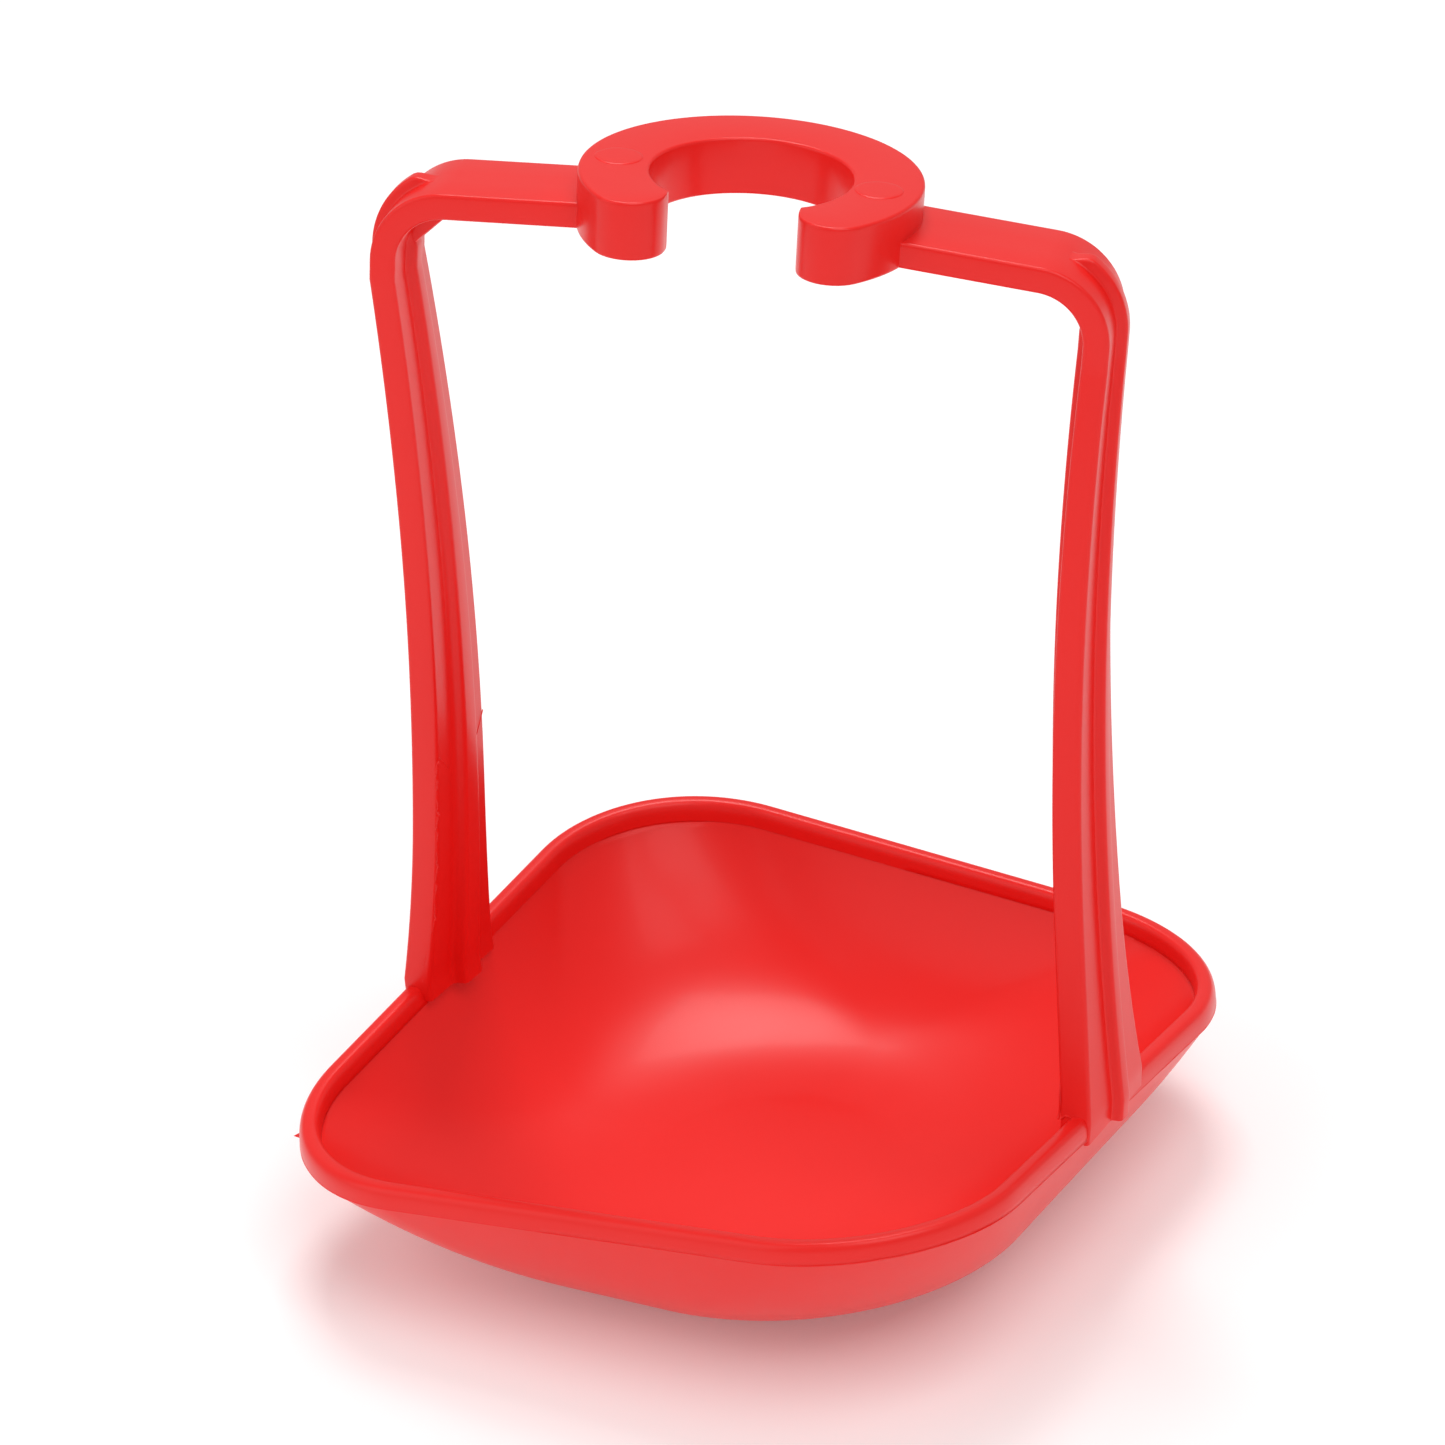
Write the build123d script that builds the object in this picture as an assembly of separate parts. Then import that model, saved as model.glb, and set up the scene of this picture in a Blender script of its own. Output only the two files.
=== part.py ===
from build123d import *
import os
from math import cos, radians, sin, sqrt, tan

# Hanging drip cup: a shallow rounded-square bowl with a raised lip, two ribbed arms and a
# C-shaped clip, moulded in one piece.  Millimetres and degrees, +Z up, X from arm to arm,
# the clip's mouth towards -Y, the origin in the middle of the flat that the bowl stands on.

# Bowl
CUP_HALF_X = 40.0         # middle of the bowl to the lip's outer face, towards an arm
CUP_HALF_Y = 41.5         # the same, towards the front and the back
CORNER_RADIUS = 19.5      # plan radius of the four corners at the lip
BOWL_DEPTH = 17.0         # underside to the parting line below the lip
WALL_POWER = 5.5          # the wall deepens as this power of the way out from the middle
FLAT_SHARE = 0.4          # the flat underside's size as a share of the lip's
BASE_CORNER_RADIUS = 28.0 # plan radius of the corners where the wall meets the flat, if it fits
BOWL_WALL = 2.0
CORNER_BLEND = 4.0        # softens the change-over to the largest possible corner radius
WALL_STEPS = 8            # straight bands that make up the dished wall, one below the other

# Lip
LIP_HEIGHT = 2.2
LIP_WIDTH = 2.4
LIP_OVERHANG = 0.25       # the wall below stands this much inside the lip's outer face

# Arms
ARM_HEIGHT = 81.5         # parting line to the lower end of the elbow
ARM_WIDTH = 11.0
STRAP_THICKNESS = 2.6     # elbow, crossbar and the top of the arm's flange
FOOT_THICKNESS = 3.3      # the flange where it stands on the lip
ELBOW_OUTER_X = 36.2      # ring axis to the outer face of the arm, at the elbow
WAIST_OUTER_X = 35.3      # the same where the arms stand closest together
WAIST_HEIGHT = 56.0
FOOT_WIDTH = 13.2
FOOT_FLARE_HEIGHT = 19.0

# Ribs along the arms
INNER_RIB_PROUD_TOP = 1.0
INNER_RIB_PROUD_FOOT = 1.5
INNER_RIB_WIDTH_TOP = 2.2
INNER_RIB_WIDTH_FOOT = 3.3
INNER_RIB_ROOT = 2.0      # how far below the parting line the inner rib dies into the wall
OUTER_RIB_PROUD = 1.1
OUTER_RIB_WIDTH = 1.8

# Elbows and crossbars
ELBOW_INNER_RADIUS = 5.0
ELBOW_TAIL = 2.0          # straight length below the elbow's curve
KNUCKLE_RIB_SWEEP = 55.0  # how far round the elbow the outer rib goes before its blunt end
BAR_DROOP = 3.6           # how far the crossbars fall away from the ring
GUSSET_LEG = 5.2          # sharp inside corner to each end of the gusset's slanted edge
GUSSET_WIDTH = 2.2
GUSSET_BITE = 0.3         # how far the gusset's web runs in before the strap cuts it

# Clip ring
BORE_RADIUS = 9.75
RING_WIDTH = 6.85         # bore to the outside of the ring
RING_OUTER_RADIUS = BORE_RADIUS + RING_WIDTH
RING_HEIGHT = 5.8
MOUTH_HALF_WIDTH = 6.4    # middle of the mouth to the flat tip of each jaw
JAW_ROUNDING = 3.5        # rounds each jaw from its flat tip to the ring's outer face

# Set of the moulding: it isn't straight.  Zero in all five gives the straight cup.
RIM_TWIST = 4.0           # front right and back left corners up by this, the others down
HANGER_TURN = 16.0        # ring and crossbars turned about the vertical
HANGER_TILT = 6.2         # ring and crossbars tilted down towards the right
HANGER_SHIFT_X = 2.7
HANGER_SHIFT_Y = 0.9

# Derived places
OVERLAP = 1.0             # how far a rough shape runs into its neighbour before it is cut
ELBOW_OUTER_RADIUS = ELBOW_INNER_RADIUS + STRAP_THICKNESS
ELBOW_CENTRE_X = ELBOW_OUTER_X - ELBOW_OUTER_RADIUS
BAR_RUN = ELBOW_CENTRE_X + ELBOW_INNER_RADIUS * sin(radians(BAR_DROOP)) - RING_OUTER_RADIUS
RING_BASE = (ELBOW_TAIL + ELBOW_INNER_RADIUS * cos(radians(BAR_DROOP))
             + BAR_RUN * tan(radians(BAR_DROOP)))
ELBOW_CENTRE = Pos(ELBOW_CENTRE_X, ELBOW_TAIL)
HANGER = (Pos(HANGER_SHIFT_X, HANGER_SHIFT_Y, BOWL_DEPTH + ARM_HEIGHT)
          * Rot(0, 0, HANGER_TURN) * Rot(0, HANGER_TILT, 0))
ARM_STEPS = 12            # even steps between the cross sections of an arm
FAR = 3 * max(CUP_HALF_X, CUP_HALF_Y)


def outline(inset):
    """Rounded-square plan of the cup at the lip, moved in by inset."""
    return RectangleRounded(2 * (CUP_HALF_X - inset), 2 * (CUP_HALF_Y - inset), CORNER_RADIUS - inset)


def parting_height(x, y):
    """Height of the twisted parting line's surface above a point of the plan."""
    return BOWL_DEPTH - RIM_TWIST * x * y / (CUP_HALF_X * CUP_HALF_Y)


def rim_slab(low, high):
    """Everything between two copies of the parting surface, low and high above it."""
    reach_x, reach_y = 1.4 * CUP_HALF_X, 1.4 * CUP_HALF_Y

    def side(y):
        ends = [Vector(x, y, parting_height(x, y) + low) for x in (-reach_x, reach_x)]
        return Edge.make_line(*ends)

    surface = Face.make_surface_from_curves(side(-reach_y), side(reach_y))
    return Solid.extrude(surface, Vector(0, 0, high - low))


def wall_section(inset, share, drop):
    """Plan of the wall at a share of the lip's size and a share drop of the way down.

    The corner radius is the lesser of the wanted and the largest possible, blended smoothly.
    """
    half_x = CUP_HALF_X * share - inset
    half_y = CUP_HALF_Y * share - inset
    corner = CORNER_RADIUS + (BASE_CORNER_RADIUS - CORNER_RADIUS) * drop - inset
    largest = 0.98 * min(half_x, half_y)
    blended = (corner + largest - sqrt((corner - largest) ** 2 + CORNER_BLEND)) / 2
    return RectangleRounded(2 * half_x, 2 * half_y, blended)


def bowl_form(inset, floor):
    """Solid bowl shape: flat bottom at floor, dished wall, straight top part."""
    sections = []
    for step in range(WALL_STEPS + 1):
        drop = sin(radians(90 * step / WALL_STEPS))
        share = (1 - drop * (1 - FLAT_SHARE ** WALL_POWER)) ** (1 / WALL_POWER)
        height = BOWL_DEPTH - (BOWL_DEPTH - floor) * drop
        sections.append((Pos(0, 0, height) * wall_section(inset, share, drop)).wire())
    wall = Solid.make_loft(list(reversed(sections)), ruled=True)
    top = extrude(Pos(0, 0, BOWL_DEPTH) * outline(inset), 2 * (RIM_TWIST + LIP_HEIGHT))
    return wall + top


def arm_outer_x(height):
    """Distance of the arm's outer face from the middle, at a height above the parting line."""
    if height > WAIST_HEIGHT:
        rise = (height - WAIST_HEIGHT) / (ARM_HEIGHT - WAIST_HEIGHT)
        return WAIST_OUTER_X + (ELBOW_OUTER_X - WAIST_OUTER_X) * rise ** 2
    fall = (WAIST_HEIGHT - height) / (WAIST_HEIGHT - LIP_HEIGHT)
    return WAIST_OUTER_X + (CUP_HALF_X - WAIST_OUTER_X) * fall ** 2


def arm_width(height):
    """Width of the arm's flange, which flares out over its lowest stretch."""
    flare = max(0.0, 1 - (height - LIP_HEIGHT) / FOOT_FLARE_HEIGHT)
    return ARM_WIDTH + (FOOT_WIDTH - ARM_WIDTH) * flare ** 2


def blend(height, foot_value, top_value):
    """Straight-line change of a size from the foot to the top of an arm."""
    share = min(1.0, max(0.0, height / ARM_HEIGHT))
    return foot_value + (top_value - foot_value) * share


def arm_thickness(height):
    """Thickness of the arm's flange."""
    return blend(height, FOOT_THICKNESS, STRAP_THICKNESS)


def arm_frame(height):
    """Place of an arm's cross section: the hanger's set is shared out along the arm."""
    share = max(0.0, height / ARM_HEIGHT)
    return (Pos(HANGER_SHIFT_X * share, HANGER_SHIFT_Y * share, BOWL_DEPTH + height)
            * Rot(0, 0, HANGER_TURN * share) * Rot(0, HANGER_TILT * share, 0))


def arm_loft(side, bottom, section):
    """Loft along one arm.  section(height) gives inner x, outer x and width."""
    wires = []
    for step in range(ARM_STEPS + 1):
        height = bottom + (ARM_HEIGHT - bottom) * step / ARM_STEPS
        inner, outer, width = section(height)
        shape = Pos(side * (inner + outer) / 2, 0) * Rectangle(outer - inner, width)
        wires.append((arm_frame(height) * shape).wire())
    return Solid.make_loft(wires)


def main_solid(shape):
    """Largest solid of a cut shape: what a cut leaves beyond the wall is dropped."""
    return shape.solids().sort_by(SortBy.VOLUME)[-1]


def make_arm(side, lip, shell):
    """Flange, inner rib and outer rib of one arm, each meeting the next face to face."""
    def flange_section(height):
        outer = arm_outer_x(height)
        return outer - arm_thickness(height), outer, arm_width(height)

    def inner_section(height):
        face = arm_outer_x(height) - arm_thickness(height)
        proud = blend(height, INNER_RIB_PROUD_FOOT, INNER_RIB_PROUD_TOP)
        return face - proud, face + OVERLAP, blend(height, INNER_RIB_WIDTH_FOOT, INNER_RIB_WIDTH_TOP)

    def outer_section(height):
        outer = arm_outer_x(height)
        return outer - OVERLAP, outer + OUTER_RIB_PROUD, OUTER_RIB_WIDTH

    above_lip = rim_slab(LIP_HEIGHT, FAR)
    above_parting = rim_slab(0, FAR)
    flange_form = arm_loft(side, 0, flange_section)
    flange = flange_form & above_lip
    inner_rib = main_solid(arm_loft(side, -INNER_RIB_ROOT, inner_section) - flange_form - lip - shell)
    outer_rib = (arm_loft(side, -LIP_HEIGHT, outer_section) & above_parting) - flange - lip
    return flange, inner_rib, outer_rib


def across(profile, width):
    """Solid with a profile in the XZ plane and a width along Y, centred on it."""
    return extrude(Plane.XZ * profile, width / 2, both=True)


def polygon(*corners):
    """Closed polygon through the corners."""
    return make_face(Polyline(*corners, close=True))


def make_ring():
    """C-shaped ring with its mouth towards -Y and rounded jaws."""
    mouth = Pos(0, -FAR / 2) * Rectangle(2 * MOUTH_HALF_WIDTH, FAR)
    plan = Circle(RING_OUTER_RADIUS) - Circle(BORE_RADIUS) - mouth
    jaws = plan.vertices().sort_by(Axis.Y)[:2]
    return extrude(Pos(0, 0, RING_BASE) * fillet(jaws, JAW_ROUNDING), RING_HEIGHT)


def make_elbow():
    """Rounded corner between crossbar and arm, with its short straight tail."""
    droop = radians(BAR_DROOP)
    bend = Circle(ELBOW_OUTER_RADIUS) - Circle(ELBOW_INNER_RADIUS)
    bend &= polygon((0, 0), (FAR * sin(droop), FAR * cos(droop)), (FAR, FAR), (FAR, 0))
    tail_middle = ELBOW_INNER_RADIUS + STRAP_THICKNESS / 2
    tail = Pos(tail_middle, -ELBOW_TAIL / 2) * Rectangle(STRAP_THICKNESS, ELBOW_TAIL)
    return across(ELBOW_CENTRE * (bend + tail), ARM_WIDTH)


def make_crossbar(ring):
    """Bar from the ring to the elbow, level with the ring's underside where it joins."""
    long = 2 * BAR_RUN
    middle = Pos(-long / 2, ELBOW_INNER_RADIUS + STRAP_THICKNESS / 2)
    bar = across(ELBOW_CENTRE * Rot(0, 0, -BAR_DROOP) * middle * Rectangle(long, STRAP_THICKNESS), ARM_WIDTH)
    return (bar - ring).solids().sort_by(Axis.X)[-1]


def make_gusset(bar, elbow):
    """Web with a slanted edge in the corner between crossbar and arm."""
    corner_x = ELBOW_CENTRE_X + ELBOW_INNER_RADIUS + GUSSET_BITE
    corner_z = ELBOW_TAIL + ELBOW_INNER_RADIUS + GUSSET_BITE
    leg = GUSSET_LEG + 2 * GUSSET_BITE
    web = polygon((corner_x, corner_z), (corner_x - leg, corner_z), (corner_x, corner_z - leg))
    return main_solid(across(web, GUSSET_WIDTH) - bar - elbow)


def make_knuckle_rib():
    """Outer rib of the arm carried on round the elbow."""
    tip_radius = ELBOW_OUTER_RADIUS + OUTER_RIB_PROUD
    sweep = radians(KNUCKLE_RIB_SWEEP)
    curve = Circle(tip_radius) - Circle(ELBOW_OUTER_RADIUS)
    curve &= polygon((0, 0), (FAR, 0), (FAR * cos(sweep), FAR * sin(sweep)))
    tail_middle = ELBOW_OUTER_RADIUS + OUTER_RIB_PROUD / 2
    tail = Pos(tail_middle, -ELBOW_TAIL / 2) * Rectangle(OUTER_RIB_PROUD, ELBOW_TAIL)
    return across(ELBOW_CENTRE * (curve + tail), OUTER_RIB_WIDTH)


shell = (bowl_form(LIP_OVERHANG, 0) - bowl_form(LIP_OVERHANG + BOWL_WALL, BOWL_WALL)) & rim_slab(-FAR, 0)
lip_plan = outline(0) - outline(LIP_WIDTH)
lip = extrude(lip_plan, FAR) & rim_slab(0, LIP_HEIGHT)
ring = make_ring()
parts = {"bowl_shell": shell, "rim_lip": lip, "clip_ring": HANGER * ring}
for side, name in ((-1, "left"), (1, "right")):
    flange, inner_rib, outer_rib = make_arm(side, lip, shell)
    elbow = make_elbow()
    bar = make_crossbar(ring)
    hanger_parts = {
        "elbow": elbow,
        "crossbar": bar,
        "gusset": make_gusset(bar, elbow),
        "knuckle_rib": make_knuckle_rib(),
    }
    for piece, solid in hanger_parts.items():
        if side < 0:
            solid = mirror(solid, about=Plane.YZ)
        parts[f"{name}_{piece}"] = HANGER * solid
    parts[f"{name}_arm"] = flange
    parts[f"{name}_inner_rib"] = inner_rib
    parts[f"{name}_outer_rib"] = outer_rib

os.makedirs("parts", exist_ok=True)
for name, solid in parts.items():
    export_step(solid, f"parts/{name}.step")
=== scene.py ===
"""Hanging drip cup: a shallow rounded-square bowl, two ribbed arms and a C-shaped clip.

The cup is one glossy red moulding.  Sizes are in millimetres and degrees, +Z up, X from arm to
arm, the clip's mouth towards -Y, the origin in the middle of the flat that the bowl stands on.
Every surface is worked out as a grid of points and turned into metres when its mesh is made.
"""

import logging
import math
from dataclasses import dataclass
from enum import Enum
from typing import Any

import bpy
import numpy as np
from mathutils import Matrix, Vector

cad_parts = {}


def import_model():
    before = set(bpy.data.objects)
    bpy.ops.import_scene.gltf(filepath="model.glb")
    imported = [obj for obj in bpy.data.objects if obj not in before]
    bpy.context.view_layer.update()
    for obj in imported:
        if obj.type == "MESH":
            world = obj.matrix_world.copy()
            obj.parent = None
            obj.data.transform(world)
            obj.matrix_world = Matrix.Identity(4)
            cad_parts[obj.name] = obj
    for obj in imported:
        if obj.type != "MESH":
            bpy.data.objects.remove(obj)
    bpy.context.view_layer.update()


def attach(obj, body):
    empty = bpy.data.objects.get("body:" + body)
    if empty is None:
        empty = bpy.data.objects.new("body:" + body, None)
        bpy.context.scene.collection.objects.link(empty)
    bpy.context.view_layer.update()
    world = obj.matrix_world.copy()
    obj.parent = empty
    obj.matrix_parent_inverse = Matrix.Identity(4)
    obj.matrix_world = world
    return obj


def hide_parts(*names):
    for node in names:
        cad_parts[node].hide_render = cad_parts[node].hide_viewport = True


LOG = logging.getLogger("drip_cup")
MM = 0.001
BODY = "root"
TINY = 1e-9          # keeps the length of an edge away from zero
EDGE_SHARE = 0.46    # most of an edge that the rounding of one of its corners may take


class Side(Enum):
    """Which arm a piece belongs to; the value is the sign of X."""

    LEFT = -1
    RIGHT = 1

    @property
    def word(self) -> str:
        """Name of the side as it stands in the names of pieces and nodes."""
        return self.name.lower()


class Ends(Enum):
    """How a grid of rings is finished at its first and last ring."""

    CAPPED = "capped"
    LOOPED = "looped"


# ---------------------------------------------------------------- meshes


def make_piece(name: str, rings: np.ndarray, ends: Ends, nodes: tuple[str, ...] = (),
               sharp: float = 32.0) -> bpy.types.Object:
    """Make one closed piece from rings of points.

    Each ring is joined to the next by quads.  Capped ends are closed by a fan round the ring's
    middle; looped ends join the last ring to the first.

    Args:
        name: name of the piece.
        rings: points in millimetres, indexed by ring, point and coordinate.
        ends: how the first and the last ring are finished.
        nodes: names of the modelled nodes that the piece stands for.
        sharp: edges that turn by more than this many degrees stay crisp.

    Returns:
        The new object, riding on the moulding's body.
    """
    count, around = rings.shape[:2]
    index = np.arange(count * around).reshape(count, around)
    rows = np.vstack([index, index[:1]]) if ends is Ends.LOOPED else index
    low, high = rows[:-1], rows[1:]
    quads = np.stack([low, np.roll(low, -1, 1), np.roll(high, -1, 1), high], axis=-1).reshape(-1, 4)
    points = rings.reshape(-1, 3)
    faces = quads.tolist()
    if ends is Ends.CAPPED:
        points = np.vstack([points, rings[0].mean(0), rings[-1].mean(0)])
        first, last = count * around, count * around + 1
        head = np.stack([np.roll(index[0], -1), index[0], np.full(around, first)], -1)
        tail = np.stack([index[-1], np.roll(index[-1], -1), np.full(around, last)], -1)
        faces += head.tolist() + tail.tolist()
    points = points * MM
    corners = points[quads]
    turned = np.cross(corners[:, 1] - corners[:, 0], corners[:, 3] - corners[:, 0])
    outward = np.einsum("ij,ij->", corners.mean(1), turned)
    if outward < 0:
        faces = [face[::-1] for face in faces]
    mesh = bpy.data.meshes.new(name)
    mesh.from_pydata(points.tolist(), [], faces)
    mesh.polygons.foreach_set("use_smooth", np.ones(len(mesh.polygons), bool))
    mesh.set_sharp_from_angle(angle=math.radians(sharp))
    mesh.update()
    piece = bpy.data.objects.new(name, mesh)
    bpy.context.scene.collection.objects.link(piece)
    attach(piece, BODY)
    if nodes:
        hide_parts(*nodes)
    LOG.info("%s: %d faces", name, len(faces))
    return piece


def rounded(corners: np.ndarray, reach: np.ndarray, steps: int = 5) -> np.ndarray:
    """Round the corners of closed polygons.

    Each corner becomes a parabola that leaves both edges at the corner's reach, or at just
    under half the edge where that is shorter: (1-s)^2 start + 2s(1-s) corner + s^2 end.

    Args:
        corners: corner points, indexed by section, corner and coordinate.
        reach: how far each corner's rounding reaches along its two edges.
        steps: points on each corner.

    Returns:
        Points of every section, indexed by section, point and coordinate.
    """
    back = np.roll(corners, 1, 1) - corners
    ahead = np.roll(corners, -1, 1) - corners
    back_length = np.maximum(np.linalg.norm(back, axis=-1, keepdims=True), TINY)
    ahead_length = np.maximum(np.linalg.norm(ahead, axis=-1, keepdims=True), TINY)
    wanted = reach[None, :, None]
    start = corners + back / back_length * np.minimum(wanted, EDGE_SHARE * back_length)
    end = corners + ahead / ahead_length * np.minimum(wanted, EDGE_SHARE * ahead_length)
    s = np.linspace(0, 1, steps)[None, None, :, None]
    curve = ((1 - s) ** 2 * start[:, :, None] + 2 * s * (1 - s) * corners[:, :, None]
             + s ** 2 * end[:, :, None])
    return curve.reshape(corners.shape[0], -1, corners.shape[-1])


def smooth_step(value: np.ndarray) -> np.ndarray:
    """Smooth change from 0 to 1 as value goes from 0 to 1: 3v^2 - 2v^3."""
    v = np.clip(value, 0, 1)
    return v * v * (3 - 2 * v)


def wobble(along: np.ndarray, seed: int, waves: int = 9, first: float = 1.0) -> np.ndarray:
    """Repeatable unevenness between about -1 and 1: a sum of sines, each faster and weaker.

    Args:
        along: place along the line, in radians for a line that closes on itself.
        seed: picks the phases.
        waves: number of sines.
        first: rate of the slowest sine.

    Returns:
        The unevenness at each place.
    """
    faster, weaker, spread = 1.7, 0.86, 1.8
    phases = np.random.default_rng(seed).uniform(0, 2 * np.pi, waves)
    rates = np.round(first * faster ** np.arange(waves))
    strengths = weaker ** np.arange(waves)
    each = np.sin(along[..., None] * rates + phases) * strengths
    return each.sum(-1) / strengths.sum() * spread


def tube(path: np.ndarray, radius: np.ndarray, around: int = 8) -> np.ndarray:
    """Rings of a thin round bead along a path, square to the path at each point.

    Args:
        path: points of the path.
        radius: radius of the bead at each point.
        around: points on each ring.

    Returns:
        The rings.
    """
    along = np.gradient(path, axis=0)
    along /= np.linalg.norm(along, axis=1, keepdims=True)
    aside = np.array([0.31, 0.87, 0.38])  # no path here runs this way
    across = np.cross(along, aside)
    across /= np.linalg.norm(across, axis=1, keepdims=True)
    up = np.cross(along, across)
    angle = np.linspace(0, 2 * np.pi, around, endpoint=False)
    cosine, sine = np.cos(angle)[None, :, None], np.sin(angle)[None, :, None]
    ring = cosine * across[:, None] + sine * up[:, None]
    return path[:, None] + ring * radius[:, None, None]


# ---------------------------------------------------------------- finish


class Wire:
    """A socket's value in an expression; arithmetic on it adds Math nodes."""

    def __init__(self, maker: "Nodes", socket: bpy.types.NodeSocket) -> None:
        """Wrap an output socket of the material that maker is building."""
        self.maker = maker
        self.socket = socket

    def _math(self, operation: str, first: Any, second: Any) -> "Wire":
        """Add one Math node with two inputs."""
        return self.maker.add("ShaderNodeMath", {"operation": operation}, {0: first, 1: second})

    def __add__(self, other: Any) -> "Wire":
        """Sum."""
        return self._math("ADD", self, other)

    __radd__ = __add__

    def __mul__(self, other: Any) -> "Wire":
        """Product."""
        return self._math("MULTIPLY", self, other)

    __rmul__ = __mul__

    def __sub__(self, other: Any) -> "Wire":
        """Difference."""
        return self._math("SUBTRACT", self, other)

    def __rsub__(self, other: Any) -> "Wire":
        """Difference, from the other value."""
        return self._math("SUBTRACT", other, self)


class Nodes:
    """Builds the nodes of one material."""

    def __init__(self, material: bpy.types.Material) -> None:
        """Start on an empty node tree."""
        material.use_nodes = True
        self.tree = material.node_tree
        self.tree.nodes.clear()

    def add(self, kind: str, settings: dict[str, Any], inputs: dict[Any, Any],
            output: Any = 0) -> Wire:
        """Add a node.

        Args:
            kind: Blender's name of the node's type.
            settings: properties of the node, set before its inputs.
            inputs: a value or a wire for each socket, by name or number.
            output: the output socket to carry on with.

        Returns:
            The output, ready for expressions.
        """
        node = self.tree.nodes.new(kind)
        for key, value in settings.items():
            setattr(node, key, value)
        for key, value in inputs.items():
            if isinstance(value, Wire):
                self.tree.links.new(value.socket, node.inputs[key])
            else:
                node.inputs[key].default_value = value
        return Wire(self, node.outputs[output])

    def finish(self, shader: Wire) -> None:
        """Send the shader to the material's output."""
        output = self.tree.nodes.new("ShaderNodeOutputMaterial")
        self.tree.links.new(shader.socket, output.inputs["Surface"])


@dataclass(frozen=True)
class MouldedPlastic:
    """Glossy polypropylene as it comes out of a polished mould."""

    name: str = "moulded_red"
    colour: tuple[float, float, float] = (0.88, 0.018, 0.014)
    deep_colour: tuple[float, float, float] = (0.82, 0.011, 0.009)
    roughness: float = 0.325
    roughness_spread: float = 0.06
    clouding_scale: float = 38.0
    clouding_share: float = 0.6
    streak_scale: float = 160.0
    streak_stretch: float = 0.16
    grain_scale: float = 420.0
    grain_height: float = 0.000004
    streak_height: float = 0.000018
    ior: float = 1.49
    specular: float = 0.30
    coat: float = 0.05
    coat_roughness: float = 0.12

    def make(self) -> bpy.types.Material:
        """Build the material.

        Slow clouding mixes the two reds.  Roughness follows the clouding and long flow
        streaks that run up the part.  A bump carries the streaks and the fine grain.

        Returns:
            The material.
        """
        material = bpy.data.materials.new(self.name)
        nodes = Nodes(material)
        place = nodes.add("ShaderNodeTexCoord", {}, {}, "Object")
        stretched = nodes.add("ShaderNodeMapping", {}, {
            "Vector": place, "Scale": (1.0, 1.0, self.streak_stretch)})

        def noise(where: Wire, scale: float, detail: float) -> Wire:
            """Noise from 0 to 1 at a scale, with finer octaves as detail grows."""
            return nodes.add("ShaderNodeTexNoise", {}, {
                "Vector": where, "Scale": scale, "Detail": detail}, "Fac")

        clouding = noise(place, self.clouding_scale, 3.0)
        streaks = noise(stretched, self.streak_scale, 4.0)
        grain = noise(place, self.grain_scale, 2.0)
        tint = nodes.add("ShaderNodeMix", {"data_type": "RGBA"}, {
            "Factor": clouding, 6: (*self.deep_colour, 1), 7: (*self.colour, 1)}, 2)
        uneven = clouding * self.clouding_share + streaks * (1 - self.clouding_share) - 0.5
        rough = self.roughness + uneven * (2 * self.roughness_spread)
        height = grain * self.grain_height + streaks * self.streak_height
        bump = nodes.add("ShaderNodeBump", {}, {
            "Height": height, "Strength": 1.0, "Distance": 1.0}, "Normal")
        shader = nodes.add("ShaderNodeBsdfPrincipled", {}, {
            "Base Color": tint, "Roughness": rough, "Normal": bump,
            "Specular IOR Level": self.specular, "IOR": self.ior,
            "Coat Weight": self.coat, "Coat Roughness": self.coat_roughness}, "BSDF")
        nodes.finish(shader)
        return material


# ---------------------------------------------------------------- the cup


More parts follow.
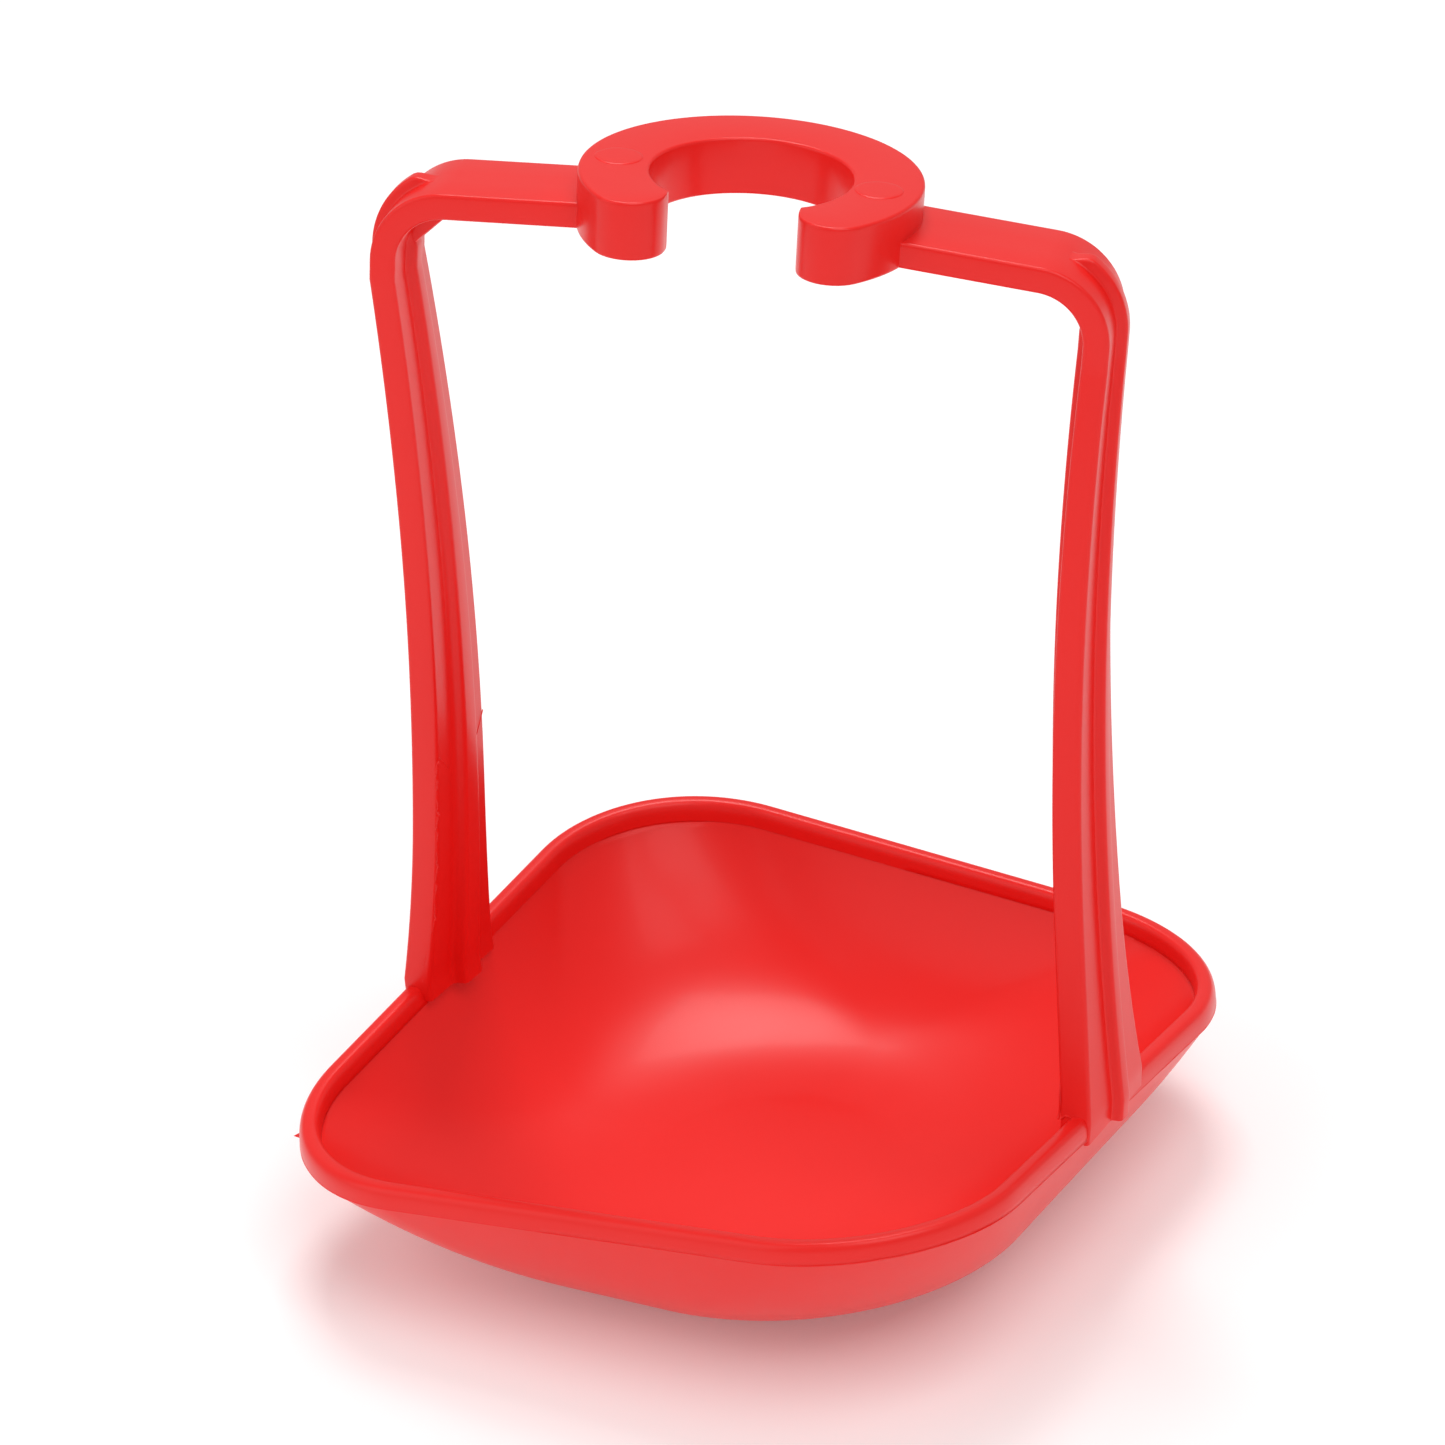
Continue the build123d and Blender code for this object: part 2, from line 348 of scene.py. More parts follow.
@dataclass
class Cup:
    """Bowl and raised lip, with the twist that the rim has taken."""

    half_x: float = 40.0
    half_y: float = 41.5
    corner: float = 19.5
    base_corner: float = 28.0
    corner_limit: float = 0.98
    depth: float = 17.0
    wall_power: float = 5.5
    flat_share: float = 0.4
    wall: float = 2.0
    overhang: float = 0.25
    lip_height: float = 2.2
    lip_width: float = 2.4
    lip_squareness: float = 3.1
    lip_root_inset: float = 0.5
    lip_root_sunk: float = 0.3
    twist: float = 4.0
    flash: float = 0.14
    nib_angle: float = 30.0
    nib_length: float = 1.0
    nib_radius: float = 0.45
    nib_root: float = 0.35
    nib_rise: float = 0.1
    arc_points: int = 44
    side_points: int = 40

    def plan(self, half_x: np.ndarray, half_y: np.ndarray, corner: np.ndarray) -> np.ndarray:
        """Points of rounded rectangles, one for each entry of the sizes.

        The four corner arcs have their centres at (half_x - corner, half_y - corner) and its
        mirror places; evenly spaced points join each arc to the next.

        Args:
            half_x: half sizes along X.
            half_y: half sizes along Y.
            corner: corner radii.

        Returns:
            Points indexed by section, point and coordinate, once round.
        """
        turn = np.linspace(0, np.pi / 2, self.arc_points)
        gap = np.linspace(0, 1, self.side_points + 1, endpoint=False)[1:]
        arcs = []
        for quarter, (sign_x, sign_y) in enumerate(((1, 1), (-1, 1), (-1, -1), (1, -1))):
            angle = turn + quarter * np.pi / 2
            x = sign_x * (half_x - corner)[:, None] + corner[:, None] * np.cos(angle)
            y = sign_y * (half_y - corner)[:, None] + corner[:, None] * np.sin(angle)
            arcs.append(np.stack([x, y], -1))
        runs = []
        for arc, following in zip(arcs, arcs[1:] + arcs[:1]):
            start, end = arc[:, -1:], following[:, :1]
            runs += [arc, start + (end - start) * gap[None, :, None]]
        return np.concatenate(runs, 1)

    def lift(self, plan: np.ndarray) -> np.ndarray:
        """Height that the twist adds at points of the plan: -twist x y / (half_x half_y)."""
        return -self.twist * plan[..., 0] * plan[..., 1] / (self.half_x * self.half_y)

    def wall_rings(self, inset: float, floor: float, steps: int = 44) -> np.ndarray:
        """Rings of the wall from the parting line down to the flat at floor.

        Where the plan is a share r of the lip's size, the wall is (1 - r^p) / (1 - f^p) of the
        way down, with p the wall's power and f the flat's share.  Rings are spaced by the sine
        of an even angle.  The twist fades out with the depth.

        Args:
            inset: how far the wall stands inside the lip's outer face.
            floor: height of the flat.
            steps: number of rings.

        Returns:
            The rings, the highest first.
        """
        drop = np.sin(np.linspace(0, np.pi / 2, steps))
        share = (1 - drop * (1 - self.flat_share ** self.wall_power)) ** (1 / self.wall_power)
        half_x = self.half_x * share - inset
        half_y = self.half_y * share - inset
        corner = self.corner + (self.base_corner - self.corner) * drop - inset
        largest = self.corner_limit * np.minimum(half_x, half_y)
        plan = self.plan(half_x, half_y, self.soft_least(corner, largest))
        height = (self.depth - (self.depth - floor) * drop)[:, None]
        height = height + self.lift(plan) * (1 - drop)[:, None]
        return np.concatenate([plan, height[..., None]], -1)

    @staticmethod
    def soft_least(first: np.ndarray, second: np.ndarray, blend: float = 4.0) -> np.ndarray:
        """Lesser of two sizes with a smooth change-over: (a + b - sqrt((a - b)^2 + k)) / 2."""
        return (first + second - np.sqrt((first - second) ** 2 + blend)) / 2

    @staticmethod
    def disc_rings(edge: np.ndarray, steps: int = 12) -> np.ndarray:
        """Rings from just inside a flat edge to just off its middle, evenly spaced."""
        share = np.linspace(1, 0, steps + 1)[1:-1]
        middle = edge.mean(0)
        return middle + (edge - middle)[None] * share[:, None, None]

    def make_bowl(self) -> bpy.types.Object:
        """Bowl below the parting line: inner floor, inner wall, outer wall and underside."""
        inner = self.wall_rings(self.overhang + self.wall, self.wall)
        outer = self.wall_rings(self.overhang, 0.0)
        rings = np.concatenate([
            self.disc_rings(inner[-1])[::-1], inner[::-1], outer, self.disc_rings(outer[-1])])
        return make_piece("dished_bowl", rings, Ends.CAPPED, ("bowl_shell",), sharp=50)

    def rim_rings(self, inset: np.ndarray, height: np.ndarray,
                  reach: np.ndarray | float = 0.0) -> np.ndarray:
        """Rings that follow the rim, each at an inset and a height above the parting line.

        Args:
            inset: distance inside the lip's outer face, one for each ring.
            height: height above the parting line, one for each ring.
            reach: extra distance outwards at each point of the plan, for uneven flash.

        Returns:
            The rings.
        """
        plan = self.plan(self.half_x - inset, self.half_y - inset, self.corner - inset)
        face = self.plan(*(np.array([size]) for size in (self.half_x, self.half_y, self.corner)))[0]
        out = face / np.linalg.norm(face, axis=1, keepdims=True)
        plan = plan + out[None] * (np.asarray(reach) * np.ones((len(inset), len(face))))[..., None]
        tall = self.depth + height[:, None] + self.lift(plan)
        return np.concatenate([plan, tall[..., None]], -1)

    def make_lip(self) -> bpy.types.Object:
        """Raised lip: a bead with a flat-sided, round-topped section.

        Going round the bead, the inset is half the width times 1 - c and the height is the
        lip's height times s, where c and s are the cosine and sine raised to the power of two
        over the squareness.  Two more rings close the bead inside the bowl's wall.
        """
        angle = np.radians(np.linspace(0, 180, 25))
        power = 2 / self.lip_squareness
        cosine = np.sign(np.cos(angle)) * np.abs(np.cos(angle)) ** power
        width = self.lip_width - self.flash
        inset = self.flash + width / 2 * (1 - cosine)
        height = self.lip_height * np.abs(np.sin(angle)) ** power
        root = self.lip_root_inset
        under_inset = np.array([self.lip_width - root, self.flash + root])
        under_height = np.full(2, -self.lip_root_sunk)
        rings = self.rim_rings(np.append(inset, under_inset), np.append(height, under_height))
        return make_piece("raised_lip", rings, Ends.LOOPED, ("rim_lip",), sharp=60)

    def make_flash(self) -> bpy.types.Object:
        """Thin uneven flash that the mould's joint left along the parting line.

        Its five rings go from a root inside the lip, out over the sharp edge, which is the
        third, and back to a root inside the wall.
        """
        points = 4 * (self.arc_points + self.side_points)
        place = np.linspace(0, 2 * np.pi, points, endpoint=False)
        rise = 0.5 + 0.5 * wobble(place, seed=4, waves=11)
        least, most = 0.15, 0.8
        edge = self.flash * (least + most * np.clip(rise, 0, 1) ** 2)
        root, shoulder = 0.7, self.flash + 0.02
        inset = np.array([root, shoulder, self.flash, shoulder, root])
        height = np.array([0.12, 0.09, 0.02, -0.06, -0.10])
        reach = np.zeros((5, len(place)))
        reach[2] = edge
        reach[1] = reach[3] = 0.55 * edge
        return make_piece("parting_flash", self.rim_rings(inset, height, reach), Ends.LOOPED)

    def make_nib(self) -> bpy.types.Object:
        """Small nib of flash that stands out of the front left corner."""
        lean = math.radians(self.nib_angle)
        direction = np.array([-math.cos(lean), -math.sin(lean), 0.0])
        start = np.array([self.corner - self.half_x, self.corner - self.half_y, 0.0])
        start += direction * (self.corner - self.flash - self.nib_root)
        start[2] = self.depth + self.nib_rise + self.lift(start[None, :2])[0]
        share = np.linspace(0, 1, 8)[:, None]
        path = start + direction * share * self.nib_length
        blunt = 1.03  # leaves the tip a little width
        radius = self.nib_radius * (blunt - share[:, 0])
        return make_piece("corner_nib", tube(path, radius), Ends.CAPPED)


# ---------------------------------------------------------------- the hanger


@dataclass
class Hanger:
    """Sizes and set of the arms, crossbars and clip, and the way from flat sizes to space."""

    cup: Cup
    arm_height: float = 81.5
    arm_width: float = 11.0
    strap: float = 2.6
    foot_thickness: float = 3.3
    elbow_outer_x: float = 36.2
    waist_outer_x: float = 35.3
    waist_height: float = 56.0
    foot_width: float = 13.2
    flare_height: float = 19.0
    elbow_inner: float = 5.0
    elbow_tail: float = 2.0
    droop: float = 3.6
    bore: float = 9.75
    ring_outer: float = 16.6
    ring_height: float = 5.8
    mouth_half: float = 6.4
    jaw_rounding: float = 3.5
    turn: float = 16.0
    tilt: float = 6.2
    shift_x: float = 2.7
    shift_y: float = 0.9

    @property
    def elbow_outer(self) -> float:
        """Outer radius of the elbow."""
        return self.elbow_inner + self.strap

    @property
    def elbow_x(self) -> float:
        """Distance of the elbow's centre from the ring's axis."""
        return self.elbow_outer_x - self.elbow_outer

    @property
    def bar_run(self) -> float:
        """Length of the crossbar along X, from the elbow's curve to the ring."""
        return self.elbow_x + self.elbow_inner * math.sin(math.radians(self.droop)) - self.ring_outer

    @property
    def ring_base(self) -> float:
        """Height of the ring's underside above the arm's top."""
        droop = math.radians(self.droop)
        return self.elbow_tail + self.elbow_inner * math.cos(droop) + self.bar_run * math.tan(droop)

    def place(self, local: np.ndarray, height: np.ndarray | None = None) -> np.ndarray:
        """Put points of the straight hanger where the set of the moulding has taken them.

        A point at the full height is tilted about Y, turned about Z and shifted.  Lower
        down, each of these is the same share of its full value as the height is of the arm's.

        Args:
            local: points with X and Y from the ring's axis and Z from the arm's top.
            height: height above the parting line along the arm, or None for the full height.

        Returns:
            The points in space.
        """
        if height is None:
            height = np.full(local.shape[:-1], self.arm_height)
        share = np.clip(height / self.arm_height, 0, 1)
        level = np.minimum(height, self.arm_height)
        tilt, turn = np.radians(self.tilt * share), np.radians(self.turn * share)
        x, y, z = local[..., 0], local[..., 1], local[..., 2]
        tilted_x = x * np.cos(tilt) + z * np.sin(tilt)
        tilted_z = z * np.cos(tilt) - x * np.sin(tilt)
        return np.stack([
            tilted_x * np.cos(turn) - y * np.sin(turn) + self.shift_x * share,
            tilted_x * np.sin(turn) + y * np.cos(turn) + self.shift_y * share,
            tilted_z + self.cup.depth + level], -1)


@dataclass
class Arm:
    """One arm from its foot to the ring: flange, ribs, elbow and crossbar in one sweep."""

    hanger: Hanger
    side: Side
    outer_rib_proud: float = 1.1
    outer_rib_width: float = 1.8
    inner_rib_proud: tuple[float, float] = (1.5, 1.0)
    inner_rib_width: tuple[float, float] = (3.3, 2.2)
    rib_draft: float = 0.35
    rib_sweep: float = 55.0
    rib_end: float = 16.0
    inner_rib_sweep: float = 30.0
    gusset_leg: float = 5.2
    gusset_width: float = 2.2
    gusset_bite: float = 0.3
    gusset_bevel: float = 0.35
    gusset_softening: float = 0.12
    into_ring: float = 1.2
    edge: float = 0.42
    arm_steps: int = 110
    tail_steps: int = 4
    bend_steps: int = 34
    bar_steps: int = 12
    nodes: tuple[str, ...] = (
        "arm", "inner_rib", "outer_rib", "elbow", "knuckle_rib", "crossbar")

    def outer_x(self, height: np.ndarray) -> np.ndarray:
        """Distance of the arm's outer face from the middle: two parabolas meet at the waist."""
        h = self.hanger
        lip = h.cup.lip_height
        rise = (height - h.waist_height) / (h.arm_height - h.waist_height)
        fall = (h.waist_height - height) / (h.waist_height - lip)
        above = h.waist_outer_x + (h.elbow_outer_x - h.waist_outer_x) * rise ** 2
        below = h.waist_outer_x + (h.cup.half_x - h.waist_outer_x) * np.minimum(fall, 1.0) ** 2
        return np.where(height > h.waist_height, above, below)

    def sizes(self, height: np.ndarray) -> tuple[np.ndarray, np.ndarray, np.ndarray]:
        """Flange width, flange thickness and share of the way up, at heights along the arm."""
        h = self.hanger
        share = np.clip(height / h.arm_height, 0, 1)
        flare = np.clip(1 - (height - h.cup.lip_height) / h.flare_height, 0, 1)
        width = h.arm_width + (h.foot_width - h.arm_width) * flare ** 2
        return width, h.foot_thickness + (h.strap - h.foot_thickness) * share, share

    def section(self, height: np.ndarray, outer_rib: np.ndarray, inner_rib: np.ndarray) -> np.ndarray:
        """Sections of the strap with both ribs.

        The first coordinate is the depth from the outer face towards the middle of the cup,
        the second goes across the strap.

        Args:
            height: height along the arm, one for each section.
            outer_rib: share of the outer rib's full height, one for each section.
            inner_rib: the same for the inner rib.

        Returns:
            Points indexed by section, point and coordinate.
        """
        width, thick, share = self.sizes(height)
        half, out, zero = width / 2, self.outer_rib_proud * outer_rib, np.zeros_like(width)
        tip = np.full_like(width, self.outer_rib_width / 2)
        root = tip + self.rib_draft / 2
        foot_proud, top_proud = self.inner_rib_proud
        foot_width, top_width = self.inner_rib_width
        proud = inner_rib * (foot_proud + (top_proud - foot_proud) * share)
        inner_tip = (foot_width + (top_width - foot_width) * share) / 2
        inner_root = inner_tip + self.rib_draft
        upper = [(zero, root), (-out, tip)]
        lower = [(thick, inner_root), (thick + proud, inner_tip)]
        corners = [
            (zero, -half), (zero, -root), (-out, -tip), *reversed(upper), (zero, half),
            (thick, half), *lower,
            (thick + proud, -inner_tip), (thick, -inner_root), (thick, -half)]
        stacked = np.stack([np.stack(corner, -1) for corner in corners], 1)
        edge = self.edge
        outer_root, outer_crest, inner_fillet, inner_crest = 0.3, 0.35, 0.5, 0.45
        reach = np.array([
            edge, outer_root, outer_crest, outer_crest, outer_root, edge,
            edge, inner_fillet, inner_crest, inner_crest, inner_fillet, edge])
        return rounded(stacked, reach)

    def strap_rings(self) -> np.ndarray:
        """Rings of the whole strap, from inside the lip up the arm, round the elbow to the ring."""
        h = self.hanger
        droop = math.radians(h.droop)
        foot = 0.05
        heights = np.linspace(foot, h.arm_height, self.arm_steps)
        tails = np.linspace(0, h.elbow_tail, self.tail_steps)[1:]
        bend_end = math.pi / 2 - droop
        sweep = math.radians(self.rib_sweep)
        stop = math.radians(self.rib_end)
        even = np.linspace(0, bend_end, self.bend_steps)[1:]
        bends = np.unique(np.concatenate([even, [sweep, sweep + stop]]))
        reach = (h.bar_run + self.into_ring) / math.cos(droop)
        bars = np.linspace(0, reach, self.bar_steps)[1:]

        arm = self.section(heights, np.ones_like(heights), np.ones_like(heights))
        arm_local = np.stack([
            self.outer_x(heights)[:, None] - arm[..., 0], arm[..., 1],
            np.zeros(arm.shape[:2])], -1)

        full = np.full(len(tails), h.arm_height)
        tail = self.section(full, np.ones_like(tails), np.ones_like(tails))
        tail_local = np.stack([
            h.elbow_outer_x - tail[..., 0], tail[..., 1],
            tails[:, None] + np.zeros(tail.shape[:2])], -1)

        full = np.full(len(bends), h.arm_height)
        rib = 1 - smooth_step((bends - sweep) / stop)
        inner_rib = 1 - smooth_step(bends / math.radians(self.inner_rib_sweep))
        bend = self.section(full, rib, inner_rib)
        radius = h.elbow_outer - bend[..., 0]
        bend_local = np.stack([
            h.elbow_x + radius * np.cos(bends)[:, None], bend[..., 1],
            h.elbow_tail + radius * np.sin(bends)[:, None]], -1)

        full = np.full(len(bars), h.arm_height)
        bar = self.section(full, np.zeros_like(bars), np.zeros_like(bars))
        radius = h.elbow_outer - bar[..., 0]
        bar_local = np.stack([
            h.elbow_x + radius * math.sin(droop) - bars[:, None] * math.cos(droop), bar[..., 1],
            h.elbow_tail + radius * math.cos(droop) + bars[:, None] * math.sin(droop)], -1)

        top = np.concatenate([tail_local, bend_local, bar_local])
        sign = np.array([self.side.value, 1, 1])
        arm_height = np.broadcast_to(heights[:, None], arm_local.shape[:2])
        return np.concatenate([h.place(arm_local * sign, arm_height), h.place(top * sign)])

    def make_strap(self) -> bpy.types.Object:
        """The arm, its ribs, the elbow and the crossbar as one surface."""
        nodes = tuple(f"{self.side.word}_{node}" for node in self.nodes)
        return make_piece(f"{self.side.word}_strap", self.strap_rings(), Ends.CAPPED, nodes)

    def make_gusset(self) -> bpy.types.Object:
        """Three-cornered web under the elbow, with the edges of its slanting face softened."""
        h = self.hanger
        corner_x = h.elbow_x + h.elbow_inner + self.gusset_bite
        corner_z = h.elbow_tail + h.elbow_inner + self.gusset_bite
        leg = self.gusset_leg + 2 * self.gusset_bite
        triangle = np.array([
            [corner_x, corner_z], [corner_x - leg, corner_z], [corner_x, corner_z - leg]])
        half, bevel, soft = self.gusset_width / 2, self.gusset_bevel, self.gusset_softening
        across = np.array([-half, -half + soft, -half + bevel, half - bevel, half - soft, half])
        sunk = np.array([bevel, soft, 0.0, 0.0, soft, bevel])
        inward = np.array([1.0, 1.0]) / math.sqrt(2)
        corner_reach, margin = 0.1, 0.4
        outline = rounded(triangle[None], np.full(3, corner_reach), 3)[0]
        slanted = (outline.sum(1) < triangle.sum(1)[0] - leg + margin)[None, :, None]
        flat = outline[None] + slanted * sunk[:, None, None] * inward
        level = np.broadcast_to(across[:, None], flat.shape[:2])
        local = np.stack([flat[..., 0], level, flat[..., 1]], -1)
        rings = h.place(local * np.array([self.side.value, 1, 1]))
        word = self.side.word
        return make_piece(f"{word}_web", rings, Ends.CAPPED, (f"{word}_gusset",))

    def edge_path(self, height: np.ndarray, depth_shift: np.ndarray,
                  across_shift: np.ndarray) -> np.ndarray:
        """Points along the flange's inner edge that faces -Y.

        Args:
            height: heights along the arm.
            depth_shift: how far past the inner face, towards the middle of the cup.
            across_shift: how far in from the edge, along the strap's width.

        Returns:
            The points in space.
        """
        width, thick, _ = self.sizes(height)
        local = np.stack([
            self.side.value * (self.outer_x(height) - thick - depth_shift),
            -width / 2 + across_shift, np.zeros_like(height)], -1)
        return self.hanger.place(local, height)

    def make_edge_flash(self) -> list[bpy.types.Object]:
        """Thin uneven flash along the front inner edge of the flange, near the foot.

        On the left it is a long bead that leans outwards at the foot.  On the right it is a
        short tapered bead and a small hooked one across the flange.
        """
        made = []
        lip = self.hanger.cup.lip_height
        if self.side is Side.LEFT:
            flash_top = 29.0
            height = np.linspace(lip + 0.2, flash_top, 260)
            uneven = wobble(height, seed=7, waves=8)
            ragged = wobble(height, seed=11, waves=9, first=2.0)
            lean = 0.85 * np.exp(-((height - lip - 1.5) / 3.2) ** 2)
            path = self.edge_path(height, -0.14 - lean + 0.16 * uneven, 0.10 + 0.12 * ragged)
            radius = 0.085 + 0.045 * np.clip(ragged, -1, 1)
            made.append(make_piece("left_edge_flash", tube(path, radius), Ends.CAPPED))
        else:
            height = np.linspace(lip + 0.1, lip + 5.0, 70)
            share = (height - height[0]) / (height[-1] - height[0])
            outwards = -0.12 + 0.35 * (1 - share) ** 3
            path = self.edge_path(height, outwards, 0.08 + 0.10 * np.sin(9 * share))
            made.append(make_piece("right_edge_flash", tube(path, 0.13 - 0.07 * share), Ends.CAPPED))
            share = np.linspace(0, 1, 40)
            level = lip + 0.25 + 0.45 * np.sin(np.pi * share)
            path = self.edge_path(level, -0.1 - 1.5 * share, np.full(40, -0.02))
            made.append(make_piece("right_hook_flash", tube(path, 0.12 - 0.06 * share), Ends.CAPPED))
        return made

    def make_mould_marks(self) -> list[bpy.types.Object]:
        """Fine raised lines where a mould insert met the cavity, part of the way up."""
        if self.side is Side.RIGHT:
            return []
        share = np.linspace(0, 1, 30)
        lower = 30.0 - 3.2 * share
        first = self.edge_path(lower, np.full(30, -0.01), 11.0 - 2.6 * share)
        second = self.edge_path(29.5 - 2.4 * share, np.full(30, -0.01), 0.3 + 2.3 * share)
        return [make_piece("left_insert_mark_back", tube(first, np.full(30, 0.06)), Ends.CAPPED),
                make_piece("left_insert_mark_front", tube(second, np.full(30, 0.06)), Ends.CAPPED)]


@dataclass
class ClipRing:
    """C-shaped ring with rounded jaws and two ejector marks on top."""

    hanger: Hanger
    edge: float = 0.38
    edge_steps: int = 6
    jaw_steps: int = 16
    round_steps: int = 84
    marks: tuple[tuple[float, float], ...] = ((-13.1, 0.2), (12.5, -0.6))
    mark_radius: float = 2.35
    mark_height: float = 0.09

    def rails(self) -> tuple[np.ndarray, np.ndarray]:
        """Matching points along the bore and along the outside, from one jaw to the other.

        The outside is the ring's circle, and at each jaw the arc that rounds it into the flat
        tip.  Angles are measured from the middle of the mouth.
        """
        h = self.hanger
        centre_x = h.mouth_half + h.jaw_rounding
        centre_y = math.sqrt((h.ring_outer - h.jaw_rounding) ** 2 - centre_x ** 2)
        meet = math.atan2(centre_x, centre_y)
        bore_end = math.asin(h.mouth_half / h.bore)
        step = np.linspace(0, 1, self.jaw_steps)[:-1]
        jaw_angle = -math.pi / 2 + (meet + math.pi / 2) * step
        jaw = np.stack([centre_x + h.jaw_rounding * np.sin(jaw_angle),
                        -centre_y - h.jaw_rounding * np.cos(jaw_angle)], -1)
        bore_angle = bore_end + (meet - bore_end) * step
        main = np.linspace(meet, math.pi, self.round_steps)
        outer_main = h.ring_outer * np.stack([np.sin(main), -np.cos(main)], -1)
        outer = np.concatenate([jaw, outer_main])
        angle = np.concatenate([bore_angle, main])
        inner = h.bore * np.stack([np.sin(angle), -np.cos(angle)], -1)
        mirror = np.array([-1, 1])
        return (np.concatenate([inner, inner[-2::-1] * mirror]),
                np.concatenate([outer, outer[-2::-1] * mirror]))

    def make_ring(self) -> bpy.types.Object:
        """Ring swept from jaw to jaw with a rectangular section and softened edges."""
        h = self.hanger
        inner, outer = self.rails()
        length = np.linalg.norm(outer - inner, axis=1)
        zero, high = np.zeros_like(length), np.full_like(length, h.ring_height)
        box = np.stack([np.stack([zero, zero], -1), np.stack([length, zero], -1),
                        np.stack([length, high], -1), np.stack([zero, high], -1)], 1)
        flat = rounded(box, np.full(4, self.edge), self.edge_steps)
        share = (flat[..., 0] / length[:, None])[..., None]
        plan = inner[:, None] * (1 - share) + outer[:, None] * share
        local = np.concatenate([plan, (h.ring_base + flat[..., 1])[..., None]], -1)
        return make_piece("open_ring", h.place(local), Ends.CAPPED, ("clip_ring",))

    def make_mark(self, number: int, spot: tuple[float, float]) -> bpy.types.Object:
        """Low round pad that an ejector pin left, with a soft edge that runs into the ring.

        Args:
            number: counts the marks from one.
            spot: place of its middle from the ring's axis.

        Returns:
            The piece.
        """
        h = self.hanger
        radius = self.mark_radius * np.array([0.05, 0.5, 0.8, 0.92, 0.97, 1.0, 1.0])
        rise = np.array([1.0, 1.0, 1.0, 0.9, 0.6, 0.1, -4.0]) * self.mark_height
        angle = np.linspace(0, 2 * np.pi, 64, endpoint=False)
        ring = np.stack([np.cos(angle), np.sin(angle)], -1)
        plan = np.array(spot) + radius[:, None, None] * ring[None]
        level = np.broadcast_to((h.ring_base + h.ring_height + rise)[:, None], plan.shape[:2])
        local = np.concatenate([plan, level[..., None]], -1)
        return make_piece(f"ejector_mark_{number}", h.place(local), Ends.CAPPED)


# ---------------------------------------------------------------- the studio


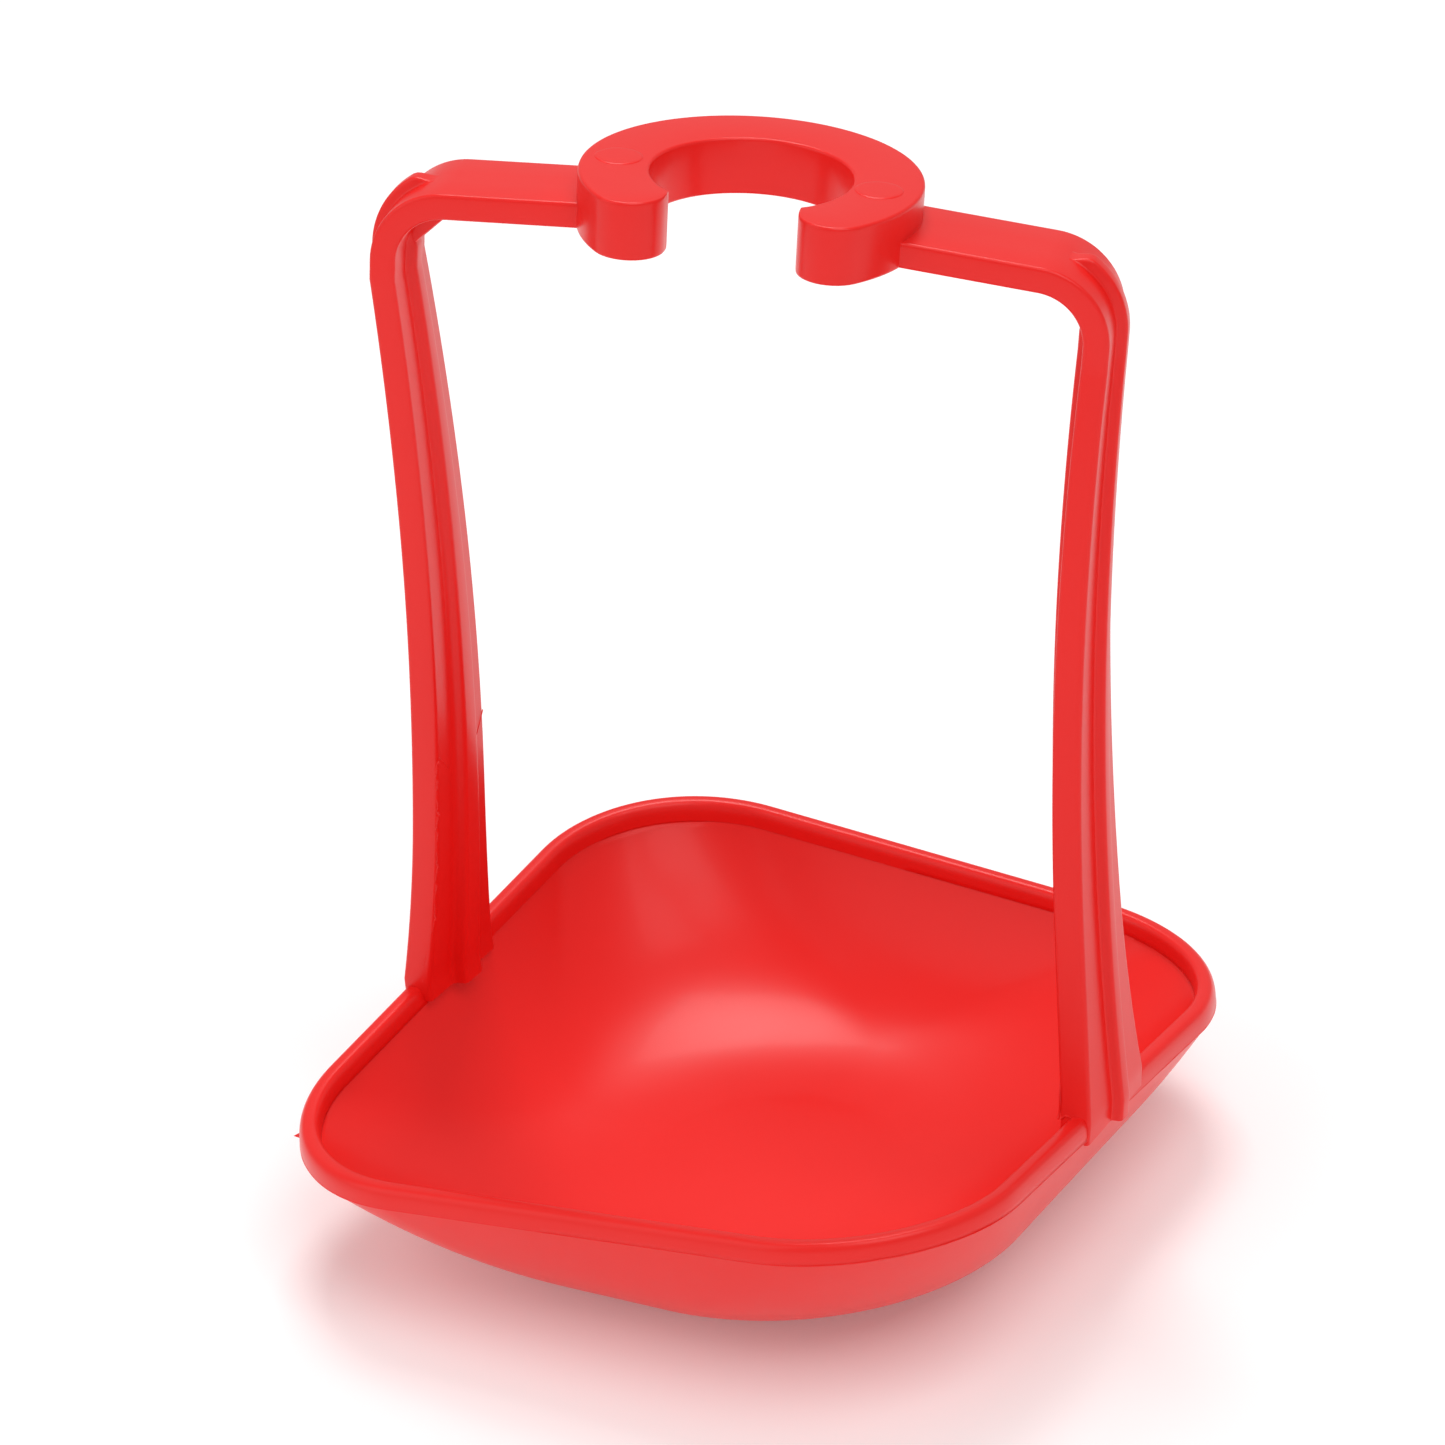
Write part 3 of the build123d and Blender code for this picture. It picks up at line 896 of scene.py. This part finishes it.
@dataclass
class Studio:
    """Camera, pale floor and soft lights."""

    azimuth: float = 29.94
    elevation: float = 24.35
    roll: float = -3.71
    distance: float = 0.45443
    target: tuple[float, float, float] = (0.0, 0.0, 0.06437)
    lens: float = 113.41
    shift: tuple[float, float] = (-0.0099, -0.0669)
    floor_colour: tuple[float, float, float] = (0.93, 0.93, 0.93)
    floor_glow: float = 0.12
    floor_reach: float = 6.0
    world_strength: float = 0.42
    light_distance: float = 1.3
    lights: tuple[tuple[str, float, float, float, float], ...] = (
        ("key", 60, 58, 6.4, 0.9), ("back", 207, 64, 6.4, 0.5), ("fill", -40, 30, 4.0, 1.2))

    def direction(self, azimuth: float, elevation: float) -> Vector:
        """Unit vector from the object towards a place on the studio's sky."""
        a, e = math.radians(azimuth), math.radians(elevation)
        return Vector((math.sin(a) * math.cos(e), -math.cos(a) * math.cos(e), math.sin(e)))

    def make_camera(self) -> None:
        """Camera that looks at the target, with its roll and its framing shift."""
        data = bpy.data.cameras.new("camera")
        data.sensor_width = 36.0
        data.lens = self.lens
        data.shift_x, data.shift_y = self.shift
        data.clip_start, data.clip_end = 0.01, 50.0
        camera = bpy.data.objects.new("camera", data)
        bpy.context.scene.collection.objects.link(camera)
        back = self.direction(self.azimuth, self.elevation)
        a = math.radians(self.azimuth)
        right = Vector((math.cos(a), math.sin(a), 0.0))
        up = back.cross(right)
        r = math.radians(self.roll)
        image_right = right * math.cos(r) + up * math.sin(r)
        image_up = up * math.cos(r) - right * math.sin(r)
        turn = Matrix((image_right, image_up, back)).transposed()
        place = Vector(self.target) + back * self.distance
        camera.matrix_world = Matrix.Translation(place) @ turn.to_4x4()
        bpy.context.scene.camera = camera

    def make_floor(self) -> None:
        """Pale floor, level with the flat underside."""
        mesh = bpy.data.meshes.new("floor")
        reach = self.floor_reach
        corners = [(-reach, -reach, 0), (reach, -reach, 0), (reach, reach, 0), (-reach, reach, 0)]
        mesh.from_pydata(corners, [], [(0, 1, 2, 3)])
        floor = bpy.data.objects.new("floor", mesh)
        bpy.context.scene.collection.objects.link(floor)
        material = bpy.data.materials.new("pale_floor")
        nodes = Nodes(material)
        shader = nodes.add("ShaderNodeBsdfPrincipled", {},
                           {"Base Color": (*self.floor_colour, 1), "Roughness": 0.9,
                            "Specular IOR Level": 0.1, "Emission Color": (1, 1, 1, 1),
                            "Emission Strength": self.floor_glow}, "BSDF")
        nodes.finish(shader)
        mesh.materials.append(material)

    def make_light(self, name: str, azimuth: float, elevation: float, power: float,
                   size: float) -> None:
        """Square soft light that faces the cup.

        Args:
            name: name of the light.
            azimuth: direction round the cup, as for the camera.
            elevation: height above the horizon.
            power: watts.
            size: length of its sides in metres.
        """
        data = bpy.data.lights.new(name, "AREA")
        data.energy, data.size = power, size
        light = bpy.data.objects.new(name, data)
        bpy.context.scene.collection.objects.link(light)
        way = self.direction(azimuth, elevation)
        light.location = Vector(self.target) + way * self.light_distance
        light.rotation_euler = way.to_track_quat("Z", "Y").to_euler()

    def make(self) -> None:
        """Set up the whole studio."""
        world = bpy.data.worlds.new("studio")
        bpy.context.scene.world = world
        world.use_nodes = True
        background = world.node_tree.nodes["Background"]
        background.inputs["Color"].default_value = (1.0, 1.0, 1.0, 1)
        background.inputs["Strength"].default_value = self.world_strength
        bpy.context.scene.view_settings.view_transform = "Standard"
        self.make_camera()
        self.make_floor()
        for light in self.lights:
            self.make_light(*light)


def main() -> None:
    """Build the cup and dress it."""
    logging.basicConfig(level=logging.INFO, format="%(message)s")
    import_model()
    Studio().make()
    cup = Cup()
    hanger = Hanger(cup)
    made = [cup.make_bowl(), cup.make_lip(), cup.make_flash(), cup.make_nib()]
    for side in Side:
        arm = Arm(hanger, side)
        made += [arm.make_strap(), arm.make_gusset(), *arm.make_edge_flash(), *arm.make_mould_marks()]
    ring = ClipRing(hanger)
    made.append(ring.make_ring())
    made += [ring.make_mark(number, spot) for number, spot in enumerate(ring.marks, 1)]
    plastic = MouldedPlastic().make()
    for piece in made:
        piece.data.materials.append(plastic)
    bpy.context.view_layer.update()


if __name__ == "__main__":
    main()
